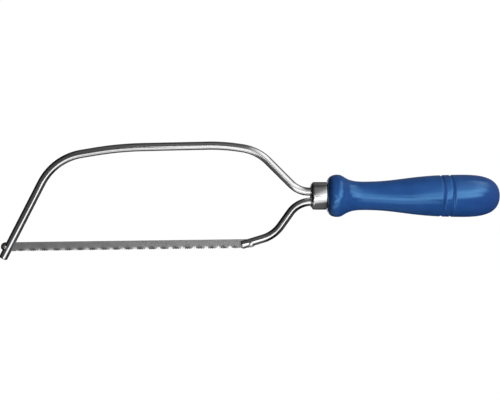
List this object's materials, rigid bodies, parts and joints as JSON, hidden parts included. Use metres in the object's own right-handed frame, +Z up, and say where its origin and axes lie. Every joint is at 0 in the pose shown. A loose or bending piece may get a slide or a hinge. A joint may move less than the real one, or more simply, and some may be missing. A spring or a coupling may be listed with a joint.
{
  "type": "mini hacksaw",
  "caption": "Small hand saw with a sprung round-rod bow, a pinned fine-toothed blade and a turned lacquered wooden grip behind a plated ferrule.",
  "frame": {"origin": "middle of the grip's visible length, on the grip's turning axis", "axes": "+X from the nose towards the butt of the grip, +Z up with the teeth facing down, Y across the saw, which is symmetric about Y = 0"},
  "size_m": [0.2957, 0.0252, 0.0702],
  "materials": {
    "plated_steel": "bright plating over drawn steel",
    "blue_lacquer": "blue gloss lacquer over turned wood",
    "blade_steel": "dull grey hardened strip",
    "pin_steel": "plain drawn pin"
  },
  "bodies": {
    "frame": {"grip": "blue_lacquer", "ferrule": "plated_steel", "bow_rod": "plated_steel", "tail_rod": "plated_steel"},
    "blade": {"blade": "blade_steel", "front_pin": "pin_steel", "rear_pin": "pin_steel"}
  },
  "joints": [
    {"name": "blade_swing", "type": "hinge", "parent": "frame", "child": "blade", "pos_m": [-0.24129, 0, -0.0302], "axis": [0, 1, 0], "range_deg": [0, 90]}
  ]
}
